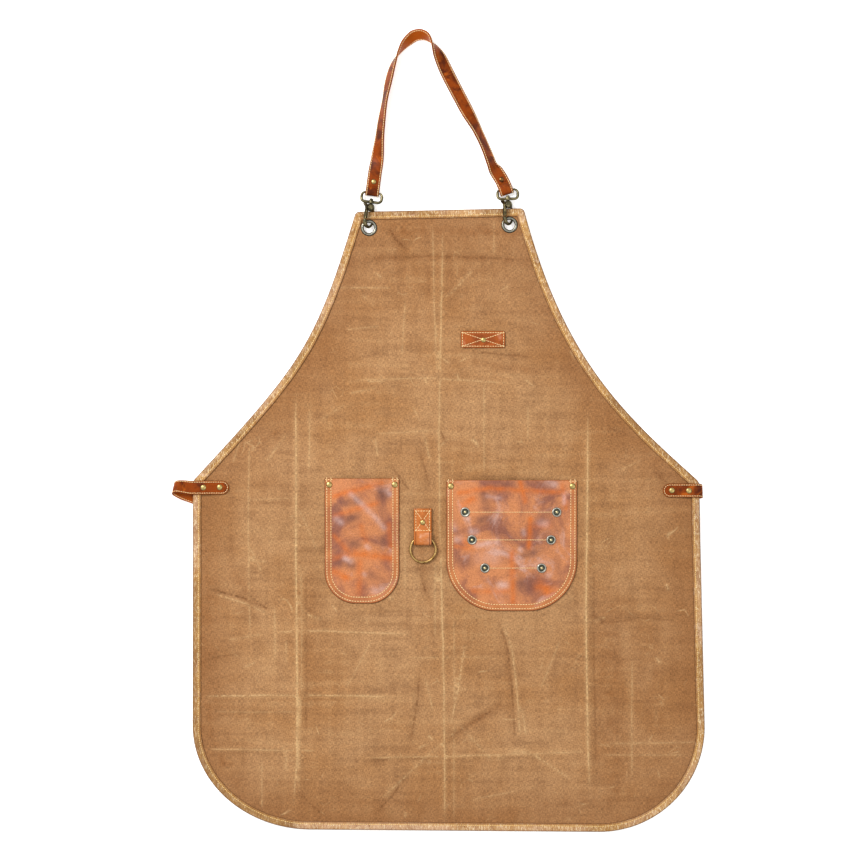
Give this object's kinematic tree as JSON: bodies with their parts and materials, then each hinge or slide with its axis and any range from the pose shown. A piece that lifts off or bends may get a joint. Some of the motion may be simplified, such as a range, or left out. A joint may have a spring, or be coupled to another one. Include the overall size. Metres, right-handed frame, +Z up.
{
  "type": "work apron",
  "caption": "Waxed canvas work apron lying flat, with leather binding, patch pockets, a tab with a ring, a neck strap on snap hooks and riveted waist straps.",
  "frame": {"origin": "on the floor under the middle of the whole lying apron, neck strap included", "axes": "+X to the right across the apron's front, +Y from hem to neck, +Z up from the floor out of the apron's front"},
  "size_m": [0.74, 1.1156, 0.0191],
  "materials": {
    "canvas": "waxed, creased, matt",
    "binding_leather": "crackled, golden tan",
    "pocket_leather": "pull-up, mottled",
    "strap_leather": "smooth, red-brown",
    "antique_brass": "antique, rubbed",
    "nickel": "aged"
  },
  "bodies": {
    "apron": {"canvas_panel": "canvas", "binding_top": "binding_leather", "binding_arm_right": "binding_leather", "binding_skirt": "binding_leather", "binding_arm_left": "binding_leather", "grommet_left": "nickel", "grommet_right": "nickel", "snap_loop_left": "antique_brass", "snap_hook_left": "antique_brass", "snap_loop_right": "antique_brass", "snap_hook_right": "antique_brass", "neck_strap": "strap_leather", "neck_rivet_left": "antique_brass", "neck_rivet_right": "antique_brass", "waist_strap_left": "strap_leather", "waist_strap_right": "strap_leather", "waist_rivet_left_outer": "antique_brass", "waist_rivet_left_inner": "antique_brass", "waist_rivet_right_outer": "antique_brass", "waist_rivet_right_inner": "antique_brass", "waist_clasp": "antique_brass", "pocket_small": "pocket_leather", "pocket_small_rivet_left": "antique_brass", "pocket_small_rivet_right": "antique_brass", "pocket_large": "pocket_leather", "pocket_large_rivet_left": "antique_brass", "pocket_large_rivet_right": "antique_brass", "pocket_stud_1_left": "nickel", "pocket_stud_1_right": "nickel", "pocket_stud_2_left": "nickel", "pocket_stud_2_right": "nickel", "pocket_stud_3_left": "nickel", "pocket_stud_3_right": "nickel", "ring_tab": "strap_leather", "ring_tab_rivet": "antique_brass", "ring": "antique_brass", "chest_tab": "strap_leather", "chest_tab_rivet": "antique_brass"},
    "gate_left": {"snap_gate_left": "antique_brass"},
    "gate_right": {"snap_gate_right": "antique_brass"}
  },
  "joints": [
    {"name": "snap_gate_left_hinge", "type": "hinge", "parent": "apron", "child": "gate_left", "pos_m": [-0.09869, 0.30899, 0.01201], "axis": [0.7603, -0.0934, 0.6428], "range_deg": [0, 14], "stiffness_Nm_per_rad": 0.005, "springref_deg": -11.46},
    {"name": "snap_gate_right_hinge", "type": "hinge", "parent": "apron", "child": "gate_right", "pos_m": [0.09233, 0.31276, 0.01201], "axis": [0.7657, 0.02, 0.6428], "range_deg": [0, 14], "stiffness_Nm_per_rad": 0.005, "springref_deg": -11.46}
  ]
}
